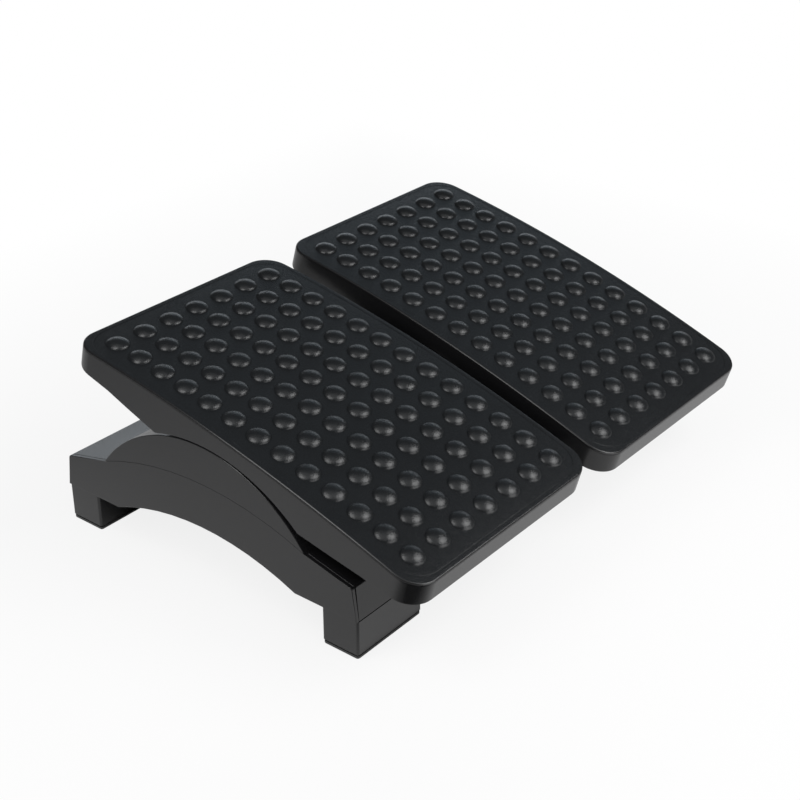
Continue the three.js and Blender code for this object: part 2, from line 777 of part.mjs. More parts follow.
const footrest = new THREE.Group();
footrest.add(makeBase());
for (const [sideName, side] of Object.entries(sides)) {
  footrest.add(makePedal(sideName, side));
}

export default centred(footrest);
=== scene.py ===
"""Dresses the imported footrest: moulded shells, mats, feet and screws, their finishes and a white studio."""

import json
import math

import bpy
from bpy.props import FloatProperty, FloatVectorProperty, IntProperty, PointerProperty
from mathutils import Matrix, Vector


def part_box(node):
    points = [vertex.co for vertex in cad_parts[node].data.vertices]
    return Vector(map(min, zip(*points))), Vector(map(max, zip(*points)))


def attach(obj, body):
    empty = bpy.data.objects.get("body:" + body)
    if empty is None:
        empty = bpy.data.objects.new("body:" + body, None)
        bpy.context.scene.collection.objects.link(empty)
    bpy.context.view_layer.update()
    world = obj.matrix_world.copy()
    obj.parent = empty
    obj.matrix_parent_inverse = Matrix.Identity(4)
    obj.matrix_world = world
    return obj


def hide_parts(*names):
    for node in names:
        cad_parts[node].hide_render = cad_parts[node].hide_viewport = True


bl_info = {
    "name": "Tilting Footrest",
    "version": (1, 0, 0),
    "blender": (4, 5, 0),
    "location": "View3D > Sidebar > Footrest",
    "description": "Models and finishes a tilting under-desk footrest around its packed frame",
    "category": "Add Mesh",
}

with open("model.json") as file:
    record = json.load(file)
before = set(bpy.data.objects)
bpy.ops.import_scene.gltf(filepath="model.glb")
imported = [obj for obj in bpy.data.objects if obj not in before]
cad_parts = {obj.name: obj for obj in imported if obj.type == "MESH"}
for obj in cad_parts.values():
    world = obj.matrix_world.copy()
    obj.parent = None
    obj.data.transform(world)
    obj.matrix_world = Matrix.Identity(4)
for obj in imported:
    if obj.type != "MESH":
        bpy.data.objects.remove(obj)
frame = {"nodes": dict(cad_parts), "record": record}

MM = 0.001
SIDES = {"left": -1, "right": 1}
ENDS = {"front": -1, "rear": 1}
X_AXIS, Z_AXIS = 0, 2
ALONG = Vector((0, 1, 0))
ACROSS = Vector((1, 0, 0))
WHITE = (1, 1, 1)
BLACK = (0, 0, 0)

SMOOTH_ANGLE = math.radians(38)
FLAT_ANGLE = math.radians(0.4)
SHARP_ANGLE = math.radians(24)
QUARTER_TURN = math.radians(90)
WELD_DISTANCE = 0.01 * MM
PLACE_TOLERANCE = 0.05 * MM
LOOSE_TOLERANCE = 0.2 * MM
SEAM_TOLERANCE = 0.6 * MM
CLIP_START = 10 * MM
TILE_RING = 1 * MM
# A face counts as level when its normal points more than this share up or down
LEVEL_SHARE = 0.9

# Steps that curved forms are made in
CORNER_STEPS = 10
PAD_CORNER_STEPS = 4
RIM_STEPS = 4
EDGE_STEPS = 2
HEAD_STEPS = 3
SCREW_SIDES = 24
TILE_STEPS = 6
SADDLE_STEPS = 20
SKIRT_STEPS = 10
# Places along a pedal are rounded to this many digits of a metre
STATION_DIGITS = 6

# Places of the crosswise ribs, as shares of half the pedal's length
CROSS_RIB_SHARES = (-0.8, -0.54, -0.27, 0.27, 0.54, 0.8)
# The skirt's edge from the saddle curve to an end, as shares of the way and of the rise
SKIRT_EDGE_SHARES = ((0, 0), (0.32, 0.44), (0.55, 0.82), (0.8, 0.97), (1, 1))
# Rings of a dome, as shares of its radius and of its height
DOME_SHARES = ((1, 0), (0.965, 0.2), (0.86, 0.45), (0.68, 0.7), (0.44, 0.885), (0.2, 0.98))
# Width of the cross in a screw's head at its bottom, as a share of that at its top
CROSS_TAPER_SHARE = 0.6

# Each softbox: the way to it from the object, distance, width and height in metres, brightness and colour
SOFTBOXES = {
    "key_softbox": ((0.24, -0.57, 0.65), 0.9, 0.55, 0.36, 5.4, WHITE),
    "front_softbox": ((-0.01, -0.745, 0.22), 0.8, 0.6, 0.3, 2.6, WHITE),
    "strip_softbox": ((-0.46, 0.01, 0.44), 0.64, 0.26, 0.34, 3.6, WHITE),
    "back_softbox": ((0.76, 0.63, 0.24), 2.6, 3.4, 0.5, 1.25, (0.92, 1, 1.07)),
    "haze_softbox": ((0.85, 0.45, 0.55), 2.4, 1.6, 0.8, 0.16, (0.7, 0.97, 1.2)),
    "overhead_softbox": ((-0.3, -0.2, 0.9), 2.4, 2.6, 2.6, 0.62, WHITE),
}


def length(name, about, millimetres):
    return FloatProperty(name=name, description=about, default=millimetres * MM, unit="LENGTH", precision=5)


def angle(name, about, degrees):
    return FloatProperty(name=name, description=about, default=math.radians(degrees), subtype="ANGLE")


def share(name, about, default):
    return FloatProperty(name=name, description=about, default=default, min=0, max=1, subtype="FACTOR")


def strength(name, about, default):
    return FloatProperty(name=name, description=about, default=default, min=0)


def colour(name, about, *default):
    return FloatVectorProperty(name=name, description=about, default=default, subtype="COLOR", min=0, max=1)


class FootrestPedalSizes(bpy.types.PropertyGroup):
    """Sizes of a pedal tray"""

    width: length("Width", "Width of a pedal", 216.3)
    depth: length("Depth", "Length of a pedal from front to rear", 344)
    set_forward: length("Set forward", "From the middle of the saddle to the middle of the deck", 5)
    corner: length("Corner", "Radius of the deck's corners", 21)
    crown: length("Crown radius", "Radius of the deck's lengthwise crown", 1560)
    arch: length("Arch radius", "Radius of the arch that the pedals slide on", 129.5)
    rise: length("Rise", "From the arch to the rim's top", 16.5)
    rim: length("Rim", "Width of the rim round the mat", 4.8)
    rim_round: length("Rim rounding", "Rounding of the rim's outer edge", 1.5)
    recess: length("Recess", "Depth of the recess for the mat", 2.9)
    recess_corner: length("Recess corner", "Radius of the recess's corners", 24)
    recess_round: length("Recess rounding", "Rounding of the rim's inner edge", 0.25)
    seam_drop: length("Seam drop", "From the rim's top to the fine seam below it", 1.7)
    seam_width: length("Seam width", "Width of the fine seam", 0.4)
    seam_depth: length("Seam depth", "Depth of the fine seam", 0.15)
    wall: length("Wall", "Thickness of the skirt", 2.8)
    edge_round: length("Edge rounding", "Rounding of the skirt's lower edge", 0.4)
    deck_drop: length("Deck underside", "From the rim's top to the deck's underside", 5.5)
    saddle_gap: length("Saddle gap", "Least gap between the skirt and the arch", 1)
    saddle_ease: length("Saddle ease", "Radius of the saddle curve beyond that of the arch and the gap", 14)
    saddle_turn: angle("Saddle turn", "From the pedal's middle back to the least gap", 15)
    saddle_reach: length("Saddle reach", "Half the length of the saddle curve", 72)
    skirt: length("Skirt", "Height of the skirt at the front and rear ends", 19)
    rib: length("Rib", "Thickness of the ribs under the deck", 3)
    rib_recess: length("Rib recess", "The ribs end this far above the skirt's edge", 1.5)
    shoe_space: length("Shoe space", "Between the arch and the ribs, for the glide shoes", 3.1)
    shoe_offset: length("Shoe offset", "From the pedal's middle to the ribs over the glide shoes", 50)
    boss_width: length("Boss width", "Width of the boss in the middle", 32)
    boss_depth: length("Boss depth", "Length of the boss in the middle", 26)
    boss_gap: length("Boss gap", "Between the arch and the boss", 1.6)
    left_tilt: angle("Left tilt", "Tilt of the left pedal at rest", 14.31)
    right_tilt: angle("Right tilt", "Tilt of the right pedal at rest", 15.72)


class FootrestMatSizes(bpy.types.PropertyGroup):
    """Sizes of a massage mat"""

    recess: length("Recess", "The mat's top lies this far below the rim", 0.15)
    thickness: length("Thickness", "Thickness of the sheet", 2.2)
    gap: length("Gap", "Between the mat and the rim", 0.12)
    corner: length("Corner", "Radius of the mat's corners", 23.7)
    edge_round: length("Edge rounding", "Rounding of the mat's upper edge", 0.25)
    pitch_across: length("Pitch across", "Between the domes' middles, across", 28)
    pitch_along: length("Pitch along", "Between the domes' middles, front to rear", 24.55)
    columns: IntProperty(name="Columns", description="Domes across a mat", default=7, min=1)
    rows: IntProperty(name="Rows", description="Domes from front to rear", default=13, min=1)
    dome_width: length("Dome width", "Diameter of a dome", 18.9)
    dome_height: length("Dome height", "Height of a dome", 3.8)


class FootrestBodySizes(bpy.types.PropertyGroup):
    """Sizes of the body's rounded edges, its seams and walls, the foot pads and the screws"""

    shell_round: length("Shell rounding", "Rounding of the outer edges of the base and its panels", 0.5)
    cover_round: length("Cover rounding", "Rounding of the arch cover's ends", 0.6)
    leg_round: length("Leg rounding", "Rounding of a leg's lower edge", 0.4)
    pad_corner: length("Pad corner", "Radius of a foot pad's corners", 2)
    pad_height: length("Pad height", "Height of a foot pad's plate", 2.2)
    pad_round: length("Pad rounding", "Rounding of a foot pad's edges", 0.5)
    neck_inset: length("Neck inset", "From a foot pad's edge to its neck inside the leg", 3.1)
    neck_height: length("Neck height", "Height of a foot pad's neck above its plate", 4.4)
    seam_reach: length("Seam reach", "Half the length of the curved seam on a side", 104)
    seam_height: length("Seam height", "Height of the curved seam's ends", 70.16)
    seam_rise: length("Seam rise", "Crown of the curved seam above its ends", 20)
    wall_top: length("Wall top", "Height where the front and rear walls begin to lean", 60.56)
    wall_foot: length("Wall foot", "Height of the walls' lower edge", 32.3)
    wall_zone: length("Wall zone", "From the body's middle to the inside of the leaning walls", 140)
    wall_tuck: length("Wall tuck", "The walls' lower edge stands this much further in than packed", 1.5)
    tread_width: length("Tread width", "Width of the grooves under a foot pad", 2)
    tread_depth: length("Tread depth", "Depth of the grooves under a foot pad", 1)
    tread_margin: length("Tread margin", "Plain border round the grooves", 3.5)
    treads: IntProperty(name="Treads", description="Grooves under a foot pad", default=6, min=2)
    head_radius: length("Head radius", "Radius of a screw's pan head", 3.8)
    head_height: length("Head height", "Height of a screw's pan head", 2.4)
    shank_radius: length("Shank radius", "Radius of a screw's shank", 1.6)
    cross_reach: length("Cross reach", "Half the length of the cross in a screw's head", 2)
    cross_width: length("Cross width", "Width of the cross in a screw's head", 0.9)
    cross_depth: length("Cross depth", "Depth of the cross in a screw's head", 1.3)


class FootrestFinishes(bpy.types.PropertyGroup):
    """Colours and gloss of the materials"""

    shell: colour("Shell", "Black satin moulded plastic", 0.0105, 0.0105, 0.0112)
    shell_roughness: share("Shell roughness", "Roughness of the moulded shells", 0.24)
    mat: colour("Mat", "Near-black soft plastic of the massage mats", 0.0085, 0.0098, 0.0112)
    mat_roughness: share("Mat roughness", "Roughness of the massage mats", 0.27)
    rubber: colour("Rubber", "Black rubber of the feet and stops", 0.03, 0.03, 0.03)
    rubber_roughness: share("Rubber roughness", "Roughness of the rubber", 0.45)
    acetal: colour("Acetal", "Smooth black plastic of the guides and glide shoes", 0.016, 0.016, 0.017)
    acetal_roughness: share("Acetal roughness", "Roughness of the smooth plastic", 0.28)
    steel: colour("Steel", "Zinc-plated screws", 0.5, 0.51, 0.53)
    steel_roughness: share("Steel roughness", "Roughness of the screws", 0.3)


class FootrestStage(bpy.types.PropertyGroup):
    """The studio and the camera"""

    floor: colour("Floor", "Plain pale floor", 0.9, 0.9, 0.9)
    floor_width: length("Floor width", "Width of the floor", 24000)
    white_share: share("White share", "How much of the floor's seen colour is plain white", 0.85)
    far_fade: length("Far fade", "From the object's outline to where the floor is plain white", 500)
    mirror_share: share("Mirror share", "How much of the mirrored floor is plain white", 0.68)
    contact: length("Contact", "From the object's outline to where the mirrored floor is at its whitest", 4)
    # fall_share and fall_reach paint shade into the floor's reflections a little way off the object
    fall_share: share("Fall share", "Loss of the mirrored floor's white a little way off", 1)
    fall_reach: length("Fall reach", "Distance over which the mirrored floor's white falls", 150)
    rise_share: share("Rise share", "Gain of the mirrored floor's white far from the object", 1)
    rise_reach: length("Rise reach", "Distance over which the mirrored floor's white rises again", 900)
    # A painted dark patch on the floor that only mirrors see: painted shade in the object's reflections, with
    # nothing there to cast it
    painted_shade_spot: FloatVectorProperty(name="Card", description="Middle of a dark card that only mirrors show",
                              default=(-0.3, -0.26), size=2, unit="LENGTH")
    painted_shade_spot_radius: length("Card radius", "Radius of the card's dark middle", 80)
    painted_shade_spot_fade: length("Card fade", "Width of the card's soft edge", 70)
    surround: strength("Surround", "Brightness of the dim room around the object", 0.1)
    azimuth: angle("Azimuth", "Direction that the camera looks from, round the object", -51.3615)
    elevation: angle("Elevation", "Height of the camera above the horizon", 28.206)
    camera: FloatVectorProperty(name="Camera", description="Place of the camera", subtype="TRANSLATION",
                                default=(-0.88593, -0.69017, 0.67580), unit="LENGTH")
    lens: FloatProperty(name="Lens", description="Focal length in millimetres", default=69.035)


GROUPS = {
    "footrest_pedal": FootrestPedalSizes,
    "footrest_mat": FootrestMatSizes,
    "footrest_body": FootrestBodySizes,
    "footrest_finishes": FootrestFinishes,
    "footrest_stage": FootrestStage,
}


# Editing


def group_of(name):
    """One of the scene's groups of sizes, looks or studio settings."""
    return getattr(bpy.context.scene, "footrest_" + name)


def deselect():
    if bpy.context.mode != "OBJECT":
        bpy.ops.object.mode_set(mode="OBJECT")
    bpy.ops.object.select_all(action="DESELECT")


def activate(piece):
    deselect()
    piece.select_set(True)
    bpy.context.view_layer.objects.active = piece


def edit(piece, kind="FACE"):
    """Opens a piece in edit mode with all of it selected."""
    activate(piece)
    bpy.ops.object.mode_set(mode="EDIT")
    bpy.ops.mesh.select_mode(type=kind)
    bpy.ops.mesh.select_all(action="SELECT")


def leave():
    bpy.ops.object.mode_set(mode="OBJECT")


def new_form(name, form, **sizes):
    """Adds one of Blender's plain meshes under a name."""
    deselect()
    getattr(bpy.ops.mesh, "primitive_" + form + "_add")(**sizes)
    piece = bpy.context.object
    piece.name = name
    piece.data.name = name
    return piece


def select_only(piece, elements, chosen, kind):
    """Opens a piece in edit mode with only the chosen elements of its mesh selected."""
    if not any(chosen):
        raise RuntimeError("nothing to pick on " + piece.name)
    activate(piece)
    for others in (piece.data.vertices, piece.data.edges, piece.data.polygons):
        others.foreach_set("select", [False] * len(others))
    elements.foreach_set("select", chosen)
    bpy.ops.object.mode_set(mode="EDIT")
    bpy.ops.mesh.select_mode(type=kind)


def pick_faces(piece, wanted):
    """Selects the faces whose middle and normal are wanted, and nothing else."""
    mesh = piece.data
    chosen = [bool(wanted(face.center, face.normal)) for face in mesh.polygons]
    select_only(piece, mesh.polygons, chosen, "FACE")


def edge_angles(mesh):
    """The angle between the two faces of each edge, or none on an open border."""
    normals = {}
    for face in mesh.polygons:
        for key in face.edge_keys:
            normals.setdefault(key, []).append(face.normal)
    return {key: pair[0].angle(pair[1], 0) if len(pair) == 2 else None for key, pair in normals.items()}


def pick_edges(piece, wanted):
    """Selects the sharp edges whose two ends are wanted, and nothing else."""
    mesh = piece.data
    angles = edge_angles(mesh)
    chosen = []
    for edge in mesh.edges:
        turn = angles.get(tuple(sorted(edge.vertices)))
        start, end = (mesh.vertices[i].co for i in edge.vertices)
        chosen.append(bool(turn is not None and turn > SHARP_ANGLE and wanted(start, end)))
    select_only(piece, mesh.edges, chosen, "EDGE")


def pick_border():
    bpy.ops.mesh.select_mode(type="EDGE")
    bpy.ops.mesh.select_all(action="DESELECT")
    bpy.ops.mesh.select_non_manifold()


def move(x=0, y=0, z=0):
    bpy.ops.transform.translate(value=(x, y, z))


def inset(thickness, rise=0):
    """Insets the selected faces and lifts what is inside."""
    bpy.ops.mesh.inset(thickness=thickness)
    if rise:
        move(z=rise)


def quarter_round(radius, steps):
    """Steps along a quarter circle that starts upright: how far each goes in, and how far up."""
    turns = [QUARTER_TURN * step / steps for step in range(steps + 1)]
    for start, stop in zip(turns, turns[1:]):
        yield radius * (math.cos(start) - math.cos(stop)), radius * (math.sin(stop) - math.sin(start))


def extrude_faces(rise):
    bpy.ops.mesh.extrude_region_move(TRANSFORM_OT_translate={"value": (0, 0, rise)})


def extrude_border(rise, stretch=(1, 1)):
    bpy.ops.mesh.extrude_edges_move(TRANSFORM_OT_translate={"value": (0, 0, rise)})
    if stretch != (1, 1):
        bpy.ops.transform.resize(value=(*stretch, 1))


def close_border():
    """Closes the selected border with a face and selects the face."""
    bpy.ops.mesh.edge_face_add()
    bpy.ops.mesh.select_mode(type="FACE")


def shift(piece, x=0, y=0, z=0):
    """Moves a piece within its own mesh."""
    edit(piece)
    move(x, y, z)
    leave()


def slice_along(piece, places):
    """Cuts new edges across a piece at each place from front to rear."""
    edit(piece)
    for place_along in places:
        bpy.ops.mesh.select_all(action="SELECT")
        bpy.ops.mesh.bisect(plane_co=ALONG * place_along, plane_no=ALONG)
    leave()


def apply_modifier(piece, kind, **settings):
    activate(piece)
    modifier = piece.modifiers.new(kind.title(), kind)
    for name, value in settings.items():
        setattr(modifier, name, value)
    bpy.ops.object.modifier_apply(modifier=modifier.name)


def combine(piece, other, operation):
    """Joins another closed piece with this one, or cuts with it, and removes the other."""
    apply_modifier(piece, "BOOLEAN", operation=operation, object=other, solver="MANIFOLD")
    bpy.data.objects.remove(other)


def round_edges(piece, width, wanted, segments=EDGE_STEPS, clamped=False):
    """Rounds the sharp edges whose two ends are wanted."""
    pick_edges(piece, wanted)
    bpy.ops.mesh.bevel(offset=width, segments=segments, affect="EDGES", clamp_overlap=clamped)
    leave()


def both_at(axis, value):
    """Picks edges that lie in the plane where an axis has a value, on either side of the middle."""

    def wanted(start, end):
        return all(abs(abs(point[axis]) - value) < PLACE_TOLERANCE for point in (start, end))

    return wanted


def faces_up(middle, normal):
    return normal.z > LEVEL_SHARE


def faces_down(middle, normal):
    return normal.z < -LEVEL_SHARE


def point_outwards(piece):
    edit(piece)
    bpy.ops.mesh.remove_doubles(threshold=WELD_DISTANCE)
    bpy.ops.mesh.normals_make_consistent(inside=False)
    leave()


def shade(piece):
    """Smooth shading with sharp edges, weighted by the size of the faces."""
    activate(piece)
    bpy.ops.object.shade_smooth_by_angle(angle=SMOOTH_ANGLE)
    apply_modifier(piece, "WEIGHTED_NORMAL", keep_sharp=True)


def place(piece, position, tilt=0):
    """Puts a piece at its place in the model and leaves the place in its mesh."""
    activate(piece)
    piece.location = position
    piece.rotation_euler = (tilt, 0, 0)
    bpy.ops.object.transform_apply(location=True, rotation=True, scale=True)


def rounded_plate(name, width, depth, corner, height, segments=CORNER_STEPS):
    """A flat face with rounded corners at a height, open in edit mode and selected."""
    piece = new_form(name, "plane", size=1)
    edit(piece)
    bpy.ops.transform.resize(value=(width, depth, 1))
    bpy.ops.mesh.bevel(affect="VERTICES", offset=corner, segments=segments)
    bpy.ops.mesh.select_mode(type="FACE")
    bpy.ops.mesh.select_all(action="SELECT")
    move(z=height)
    return piece


def rounded_block(name, width, depth, corner, low, high):
    """A closed block with rounded corners between two heights."""
    block = rounded_plate(name, width, depth, corner, low)
    extrude_faces(high - low)
    leave()
    point_outwards(block)
    return block


def slab(name, low, high):
    """A block between two corners."""
    low, high = Vector(low), Vector(high)
    piece = new_form(name, "cube", size=1)
    edit(piece)
    bpy.ops.transform.resize(value=high - low)
    move(*((high + low) / 2))
    leave()
    return piece


def finish_piece(piece, body, slot, *nodes):
    """Gives a piece its material and its place in the frame."""
    piece.data.materials.clear()
    piece.data.materials.append(material_for(slot))
    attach(piece, body)
    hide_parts(*nodes)


def body_of(node):
    bodies = frame["record"]["behaviour"]["bodies"]
    return next(name for name, members in bodies.items() if node in members)


# Materials


class Term:
    """One output of a shader node, which adds, subtracts, multiplies and divides like a number."""

    def __init__(self, tree, output):
        self.tree = tree
        self.output = output

    def maths(self, operation, *values):
        node = self.tree.nodes.new("ShaderNodeMath")
        node.operation = operation
        for socket, value in zip(node.inputs, values):
            connect(self.tree, socket, value)
        return Term(self.tree, node.outputs[0])

    def __add__(self, other):
        return self.maths("ADD", self, other)

    def __radd__(self, other):
        return self.maths("ADD", other, self)

    def __sub__(self, other):
        return self.maths("SUBTRACT", self, other)

    def __rsub__(self, other):
        return self.maths("SUBTRACT", other, self)

    def __mul__(self, other):
        return self.maths("MULTIPLY", self, other)

    def __truediv__(self, other):
        return self.maths("DIVIDE", self, other)

    def size(self):
        return self.maths("ABSOLUTE", self)

    def root(self):
        return self.maths("SQRT", self)

    def larger(self, other):
        return self.maths("MAXIMUM", self, other)

    def clamped(self):
        return self.maths("MAXIMUM", self.maths("MINIMUM", self, 1), 0)


def connect(tree, socket, value):
    """Links a term to a socket, or sets the socket's value."""
    if isinstance(value, Term):
        tree.links.new(value.output, socket)
    elif socket.type == "RGBA":
        socket.default_value = (*value, 1)
    else:
        socket.default_value = value


class Finish:
    """A material or world whose nodes are added in plain words."""

    def __init__(self, owner):
        owner.use_nodes = True
        self.owner = owner
        self.tree = owner.node_tree

    def fill(self, name, **sockets):
        """Sets or links inputs of a node that the tree has."""
        inputs = self.tree.nodes[name].inputs
        for label, value in sockets.items():
            connect(self.tree, inputs[label.replace("_", " ")], value)

    def node(self, kind, *values, outputs=None, data_type=None, **sockets):
        """Adds a node, fills inputs in order and by name, and gives its first or its named outputs."""
        node = self.tree.nodes.new("ShaderNode" + kind)
        if data_type:
            node.data_type = data_type
        for socket, value in zip([socket for socket in node.inputs if socket.enabled], values):
            connect(self.tree, socket, value)
        self.fill(node.name, **sockets)
        terms = {socket.name: Term(self.tree, socket) for socket in node.outputs if socket.enabled}
        return [terms[name] for name in outputs] if outputs else next(iter(terms.values()))

    def rays(self):
        """Whether a ray comes from the camera, through a surface or from a mirror."""
        return self.node("LightPath", outputs=("Is Camera Ray", "Is Transmission Ray", "Is Glossy Ray"))

    def places(self, stretch=(1, 1, 1)):
        """Places on the object itself."""
        coordinates, = self.node("TexCoord", outputs=("Object",))
        return self.node("Mapping", Vector=coordinates, Scale=stretch)

    def noise(self, scale, detail, roughness=0.5, stretch=(1, 1, 1)):
        places = self.places(stretch)
        return self.node("TexNoise", Vector=places, Scale=scale, Detail=detail, Roughness=roughness)

    def bump(self, height, depth, strength):
        return self.node("Bump", Height=height, Distance=depth, Strength=strength)

    def dress(self, slot, cloud, roughening, relief, tint_shares, metallic=0):
        """Two tints of the slot's colour mixed by a cloud, relief, and an addition to its roughness."""
        looks = group_of("finishes")
        base = getattr(looks, slot)
        tints = [[channel * tint_share for channel in base] for tint_share in tint_shares]
        self.fill(
            "Principled BSDF",
            Base_Color=self.node("Mix", cloud, *tints, data_type="RGBA"),
            Metallic=metallic,
            Roughness=getattr(looks, slot + "_roughness") + roughening,
            Normal=relief,
        )
        return self.owner


def new_finish(name):
    return Finish(bpy.data.materials.new(name))


def moulded_plastic():
    """Black satin plastic: fine spark-eroded grain, and slow changes of gloss from the mould."""
    finish = new_finish("satin_black_plastic")
    cloud = finish.noise(scale=14, detail=2)
    grain = finish.noise(scale=2600, detail=2, roughness=0.6)
    roughening = cloud * 0.05 + grain * 0.05 - 0.05
    relief = finish.bump(grain, depth=0.012 * MM, strength=0.6)
    return finish.dress("shell", cloud, roughening, relief, tint_shares=(0.86, 1.14))


def soft_mat():
    """Near-black soft plastic with a fine leather grain that sparkles a little."""
    finish = new_finish("grained_mat")
    cloud = finish.noise(scale=22, detail=3)
    pebbles = finish.node("TexVoronoi", Vector=finish.places(), Scale=1500)
    grain = finish.noise(scale=3800, detail=1)
    roughening = cloud * 0.04 + grain * 0.08 - 0.06
    relief = finish.bump(pebbles * 0.7 + grain * 0.3, depth=0.12 * MM, strength=0.8)
    return finish.dress("mat", cloud, roughening, relief, tint_shares=(0.85, 1.15))


def foot_rubber():
    """Matt black rubber with a fine bloom."""
    finish = new_finish("matt_rubber")
    bloom = finish.noise(scale=60, detail=5, roughness=0.65)
    grain = finish.noise(scale=2200, detail=2)
    roughening = bloom * 0.12 - 0.06
    relief = finish.bump(grain, depth=0.03 * MM, strength=0.5)
    return finish.dress("rubber", bloom, roughening, relief, tint_shares=(0.8, 1.5))


def smooth_acetal():
    """Smooth black plastic with faint flow lines and light scuffs where it slides."""
    finish = new_finish("smooth_acetal")
    flow = finish.noise(scale=30, detail=4, stretch=(1, 6, 1))
    scuff = finish.noise(scale=900, detail=2, stretch=(1, 0.08, 1))
    roughening = scuff * 0.14 - 0.04
    relief = finish.bump(scuff, depth=0.006 * MM, strength=0.5)
    return finish.dress("acetal", flow, roughening, relief, tint_shares=(0.85, 1.25))


def zinc_steel():
    """Zinc-plated steel with a faint cloudy bloom and turning marks."""
    finish = new_finish("zinc_plated_steel")
    bloom = finish.noise(scale=420, detail=4, roughness=0.6)
    marks = finish.noise(scale=5200, detail=1)
    roughening = bloom * 0.16 - 0.06
    relief = finish.bump(marks, depth=0.004 * MM, strength=0.6)
    return finish.dress("steel", bloom, roughening, relief, tint_shares=(0.82, 1.12), metallic=1)


MATERIAL_MAKERS = {
    "shell": moulded_plastic,
    "mat": soft_mat,
    "rubber": foot_rubber,
    "acetal": smooth_acetal,
    "steel": zinc_steel,
}
made_materials = {}


def material_for(slot):
    """The material of a slot, made when it is first asked for."""
    if slot not in made_materials:
        made_materials[slot] = MATERIAL_MAKERS[slot]()
    return made_materials[slot]


# Pedals, shaped about the arch's middle with the deck level, then tilted into place


def deck_height(along, drop):
    """Height of the crowned deck above the arch's middle, lowered by a drop."""
    sizes = group_of("pedal")
    offset = along + sizes.set_forward
    fall = sizes.crown - math.sqrt(sizes.crown**2 - offset**2)
    return sizes.arch + sizes.rise - drop - fall


def saddle_height(along):
    """Height of the saddle curve, a little flatter than the arch below it."""
    sizes = group_of("pedal")
    radius = sizes.arch + sizes.saddle_gap + sizes.saddle_ease
    back = along + sizes.saddle_ease * math.sin(sizes.saddle_turn)
    return math.sqrt(radius**2 - back**2) - sizes.saddle_ease * math.cos(sizes.saddle_turn)


def end_reach(end):
    """From the arch's middle to a pedal's front or rear end."""
    sizes = group_of("pedal")
    return sizes.depth / 2 - end * sizes.set_forward


def between(shares, reached):
    """Follows straight lines through pairs of a place and a value."""
    for (start, low), (stop, high) in zip(shares, shares[1:]):
        if reached <= stop:
            break
    return low + (high - low) * (reached - start) / (stop - start)


def skirt_edge(along):
    """Height of the skirt's lower edge: a saddle curve in the middle that rises to low ends."""
    sizes = group_of("pedal")
    if abs(along) <= sizes.saddle_reach:
        return saddle_height(along)
    end = math.copysign(1, along)
    low = saddle_height(end * sizes.saddle_reach)
    high = deck_height(end * end_reach(end), sizes.skirt)
    reached = min(1, (abs(along) - sizes.saddle_reach) / (end_reach(end) - sizes.saddle_reach))
    return low + (high - low) * between(SKIRT_EDGE_SHARES, reached)


def rib_edge(along):
    """Height of the ribs' lower edge, clear of the glide shoes and just inside the skirt."""
    sizes = group_of("pedal")
    radius = sizes.arch + sizes.shoe_space
    over_shoe = math.sqrt(max(0, radius**2 - along**2))
    return max(over_shoe, skirt_edge(along) + sizes.rib_recess)


def saddle_stations():
    """Places along a pedal where its lower edge changes direction."""
    sizes = group_of("pedal")
    radius = sizes.arch + sizes.saddle_gap
    reach = math.asin(sizes.saddle_reach / radius)
    stations = [radius * math.sin(reach * (2 * step / SADDLE_STEPS - 1)) for step in range(SADDLE_STEPS + 1)]
    parts = [part / SKIRT_STEPS for part in range(1, SKIRT_STEPS)]
    parts += [along for along, _ in SKIRT_EDGE_SHARES[1:-1]]
    for end in ENDS.values():
        for part in parts:
            stations.append(end * (sizes.saddle_reach + (end_reach(end) - sizes.saddle_reach) * part))
    return sorted(set(round(station, STATION_DIGITS) for station in stations))


def set_heights(piece, levels):
    """Lifts each point of a flat blank to its height on the curved piece.

    levels gives, from the highest down, where a level begins and the height for a place along.
    """
    for vertex in piece.data.vertices:
        for lowest, height in levels:
            if vertex.co.z >= lowest:
                vertex.co.z = height(vertex.co.y, vertex.co.z)
                break


def tray_blank(name):
    """The tray's flat deck and straight skirt down to the seam, with the seam's border selected."""
    sizes = group_of("pedal")
    third = sizes.seam_depth / 3
    piece = rounded_plate(name, sizes.width, sizes.depth, sizes.corner, -sizes.rim_round)
    for inward, upward in quarter_round(sizes.rim_round, RIM_STEPS):
        inset(inward, upward)
    pick_border()
    inward = [1 - 2 * sizes.seam_depth / size for size in (sizes.width, sizes.depth)]
    extrude_border(sizes.rim_round - sizes.seam_drop)
    extrude_border(-third, inward)
    extrude_border(third - sizes.seam_width)
    extrude_border(-third, [1 / factor for factor in inward])
    return piece


def skirt_level():
    """Level of the skirt's lower edge on the flat blank."""
    return -group_of("pedal").skirt * 2


def close_tray():
    """Draws the skirt down from the seam, turns it inwards and closes the underside."""
    sizes = group_of("pedal")
    bottom = skirt_level()
    start = -(sizes.seam_drop + sizes.seam_width + sizes.seam_depth / 3)
    extrude_border(bottom + sizes.edge_round - start)
    close_border()
    for inward, downward in quarter_round(sizes.edge_round, EDGE_STEPS):
        inset(inward, -downward)
    inset(sizes.wall - 2 * sizes.edge_round)
    for upward, inward in quarter_round(sizes.edge_round, EDGE_STEPS):
        inset(inward, upward)
    extrude_faces(-sizes.deck_drop - bottom - sizes.edge_round)
    leave()


def cut_recess(piece):
    """Sinks the mat's place into the deck and rounds its upper edge."""
    sizes = group_of("pedal")
    width, depth = sizes.width - 2 * sizes.rim, sizes.depth - 2 * sizes.rim
    recess = sizes.recess
    cutter = rounded_block("recess_cutter", width, depth, sizes.recess_corner, -recess, recess)
    combine(piece, cutter, "DIFFERENCE")
    round_edges(piece, sizes.recess_round, both_at(Z_AXIS, 0))


